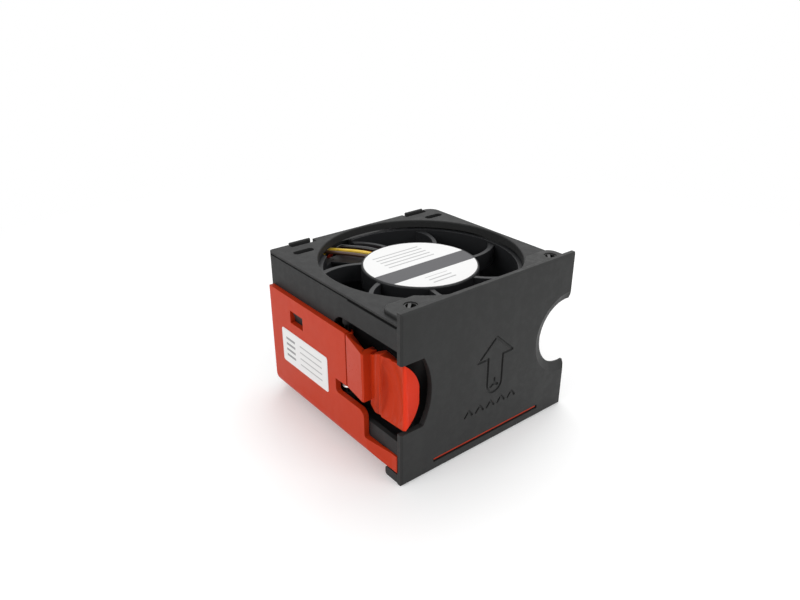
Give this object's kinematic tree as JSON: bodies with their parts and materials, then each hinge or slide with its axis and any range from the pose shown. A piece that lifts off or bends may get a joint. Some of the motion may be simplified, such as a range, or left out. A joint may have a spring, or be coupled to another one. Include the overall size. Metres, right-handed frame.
{
  "type": "hot-swap server fan module",
  "caption": "Hot-swap axial fan module: square fan in a black plastic shell with an arrow plate, red latch carrier, sprung release lever and blind-mate connector",
  "frame": {"origin": "on the fan's axis, in the plane of the module's lowest faces", "axes": "+Z is the fan's axis and the way the air goes; -Y is the side with the arrow plate; -X is the side with the latch carrier and the release lever; +Y is the side with the connector"},
  "size_m": [0.0677, 0.0726, 0.051],
  "materials": {
    "housing_shell": "black moulded plastic, fine spark texture",
    "front_plate": "black moulded plastic, fine spark texture",
    "plate_rivets": "black nylon push rivet",
    "latch_carrier": "orange-red moulded plastic, satin",
    "release_lever": "orange-red moulded plastic, satin",
    "lever_spring": "bright spring wire",
    "lever_pin": "ground steel pin",
    "side_label": "white paper label, bare",
    "fan_frame": "black glass-filled plastic",
    "motor_base": "black glass-filled plastic",
    "hub_label": "white film label, bare",
    "impeller": "black glass-filled plastic",
    "rotor_yoke": "deep-drawn steel",
    "rotor_magnet": "bonded ferrite",
    "rotor_shaft": "ground steel",
    "shaft_clip": "spring steel",
    "bearing_lower": "polished steel",
    "bearing_upper": "polished steel",
    "bearing_tube": "turned brass",
    "stator_core": "laminated sheet steel",
    "stator_insulators": "natural nylon",
    "stator_windings": "enamelled copper wire",
    "circuit_board": "green solder mask",
    "lead_wire_brown": "brown insulation",
    "lead_wire_yellow": "yellow insulation",
    "lead_wire_red": "red insulation",
    "lead_wire_black": "black insulation",
    "back_cover": "black moulded plastic, fine spark texture",
    "connector_body": "black connector plastic",
    "connector_contacts": "gold-flashed spring brass"
  },
  "bodies": {
    "root": {"housing_shell": "housing_shell", "front_plate": "front_plate", "plate_rivets": "plate_rivets", "latch_carrier": "latch_carrier", "lever_spring": "lever_spring", "lever_pin": "lever_pin", "side_label": "side_label", "fan_frame": "fan_frame", "motor_base": "motor_base", "hub_label": "hub_label", "bearing_lower": "bearing_lower", "bearing_upper": "bearing_upper", "bearing_tube": "bearing_tube", "stator_core": "stator_core", "stator_insulators": "stator_insulators", "stator_windings": "stator_windings", "circuit_board": "circuit_board", "lead_wire_brown": "lead_wire_brown", "lead_wire_yellow": "lead_wire_yellow", "lead_wire_red": "lead_wire_red", "lead_wire_black": "lead_wire_black", "back_cover": "back_cover", "connector_body": "connector_body", "connector_contacts": "connector_contacts"},
    "rotor": {"impeller": "impeller", "rotor_yoke": "rotor_yoke", "rotor_magnet": "rotor_magnet", "rotor_shaft": "rotor_shaft", "shaft_clip": "shaft_clip"},
    "release_lever": {"release_lever": "release_lever"}
  },
  "joints": [
    {"name": "rotor_spin", "type": "hinge", "parent": "root", "child": "rotor", "pos_m": [0, 0, 0.0256], "axis": [0, 0, -1], "continuous": true},
    {"name": "lever_press", "type": "hinge", "parent": "root", "child": "release_lever", "pos_m": [-0.0314, -0.0069, 0.0265], "axis": [0, 0, 1], "range_deg": [0, 7], "stiffness_Nm_per_rad": 0.2, "springref_deg": -8.59}
  ]
}
